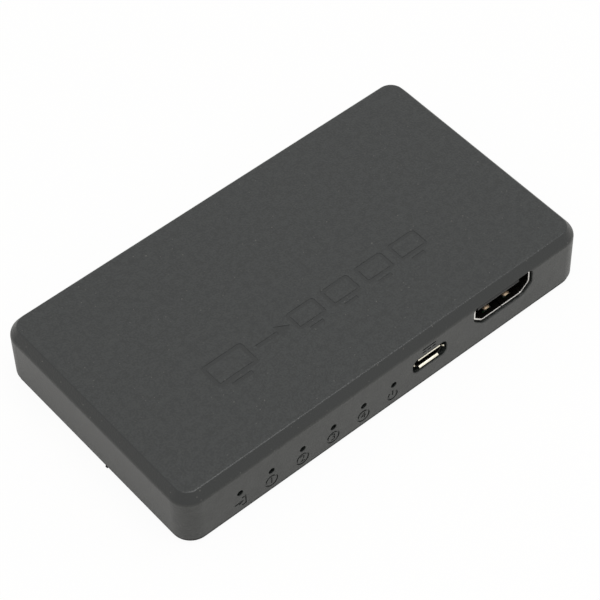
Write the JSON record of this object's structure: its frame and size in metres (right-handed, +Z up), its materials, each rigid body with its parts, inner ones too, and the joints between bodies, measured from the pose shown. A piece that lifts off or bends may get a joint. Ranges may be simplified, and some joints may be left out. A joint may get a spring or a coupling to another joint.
{
  "type": "hdmi splitter",
  "caption": "Flat black plastic box that splits an HDMI input to several outputs at the back, with a micro-USB power inlet and status lights in front.",
  "frame": {"origin": "centre of the footprint, on the surface that the rubber feet stand on", "axes": "+X to the right along the front (input and indicator side), +Y to the back (output side), +Z up"},
  "size_m": [0.1, 0.056, 0.0145],
  "materials": {
    "case_plastic": "fine spark texture, dull",
    "cover_plastic": "dull moulded",
    "rubber": "dull",
    "screw_steel": "black-zinc plated",
    "plated_steel": "nickel plated, satin",
    "connector_plastic": "satin moulded",
    "gold_contacts": "gold plated",
    "board_laminate": "solder mask",
    "chip_plastic": "moulded epoxy",
    "tinned_leads": "tinned",
    "crystal_metal": "lid",
    "ferrite": "ferrite, dull",
    "capacitor_can": "satin",
    "ceramic_body": "fired ceramic",
    "resistor_body": "glazed",
    "led_plastic": "clear and white"
  },
  "bodies": {
    "root": {"top_shell": "case_plastic", "bottom_cover": "cover_plastic", "circuit_board": "board_laminate", "cover_screws": "screw_steel", "board_screws": "screw_steel", "micro_usb_shell": "plated_steel", "micro_usb_insulator": "connector_plastic", "micro_usb_contacts": "gold_contacts", "splitter_chip": "chip_plastic", "splitter_chip_leads": "tinned_leads", "memory_chip": "chip_plastic", "main_regulator": "chip_plastic", "core_regulator": "chip_plastic", "crystal": "crystal_metal", "power_inductor": "ferrite", "bulk_capacitor": "capacitor_can", "ceramic_capacitors": "ceramic_body", "chip_resistors": "resistor_body", "surge_arrays": "chip_plastic", "input_hdmi_shell": "plated_steel", "input_hdmi_insulator": "connector_plastic", "input_hdmi_contacts": "gold_contacts", "output_1_hdmi_shell": "plated_steel", "output_1_hdmi_insulator": "connector_plastic", "output_1_hdmi_contacts": "gold_contacts", "output_2_hdmi_shell": "plated_steel", "output_2_hdmi_insulator": "connector_plastic", "output_2_hdmi_contacts": "gold_contacts", "output_3_hdmi_shell": "plated_steel", "output_3_hdmi_insulator": "connector_plastic", "output_3_hdmi_contacts": "gold_contacts", "output_4_hdmi_shell": "plated_steel", "output_4_hdmi_insulator": "connector_plastic", "output_4_hdmi_contacts": "gold_contacts", "status_led_1": "led_plastic", "status_led_2": "led_plastic", "status_led_3": "led_plastic", "status_led_4": "led_plastic", "status_led_5": "led_plastic", "status_led_6": "led_plastic", "rubber_foot_1": "rubber", "rubber_foot_2": "rubber", "rubber_foot_3": "rubber", "rubber_foot_4": "rubber"}
  },
  "joints": []
}
